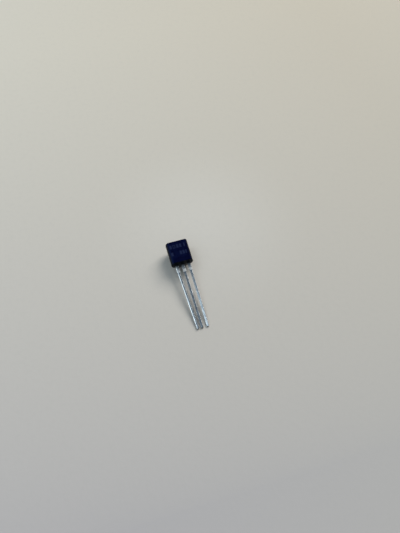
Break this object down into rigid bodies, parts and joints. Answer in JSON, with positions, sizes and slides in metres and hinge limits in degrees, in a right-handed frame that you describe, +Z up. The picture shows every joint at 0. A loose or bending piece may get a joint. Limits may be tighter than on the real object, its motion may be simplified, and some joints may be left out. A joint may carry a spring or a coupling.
{
  "type": "to-92 transistor",
  "caption": "Small through-hole transistor: black D-shaped moulded body with a row of straight tinned leads, lying flat face up on its round back and lead tips.",
  "frame": {"origin": "middle of the bounding box's footprint, on the level surface that the transistor lies on", "axes": "+Y from the lead tips to the closed end of the body, +Z up on the side of the flat face, +X across the leads from the emitter to the collector"},
  "size_m": [0.0046, 0.0188, 0.0041],
  "materials": {
    "moulding": "black moulded epoxy: a dull flat face with a navy tinge and a fine matt texture, dull ends, and a glossier round back",
    "tinned_lead": "bright tin plate over a stamped strip, with fine drawing lines, duller spots and some tarnish towards the body",
    "solder": "dull solder",
    "silicon": "polished grey silicon",
    "bond_wire": "bright gold wire"
  },
  "bodies": {
    "root": {"body": "moulding", "emitter_lead": "tinned_lead", "base_lead": "tinned_lead", "collector_lead": "tinned_lead", "die_attach": "solder", "die": "silicon", "base_bond_wire": "bond_wire", "emitter_bond_wire": "bond_wire"}
  },
  "joints": []
}
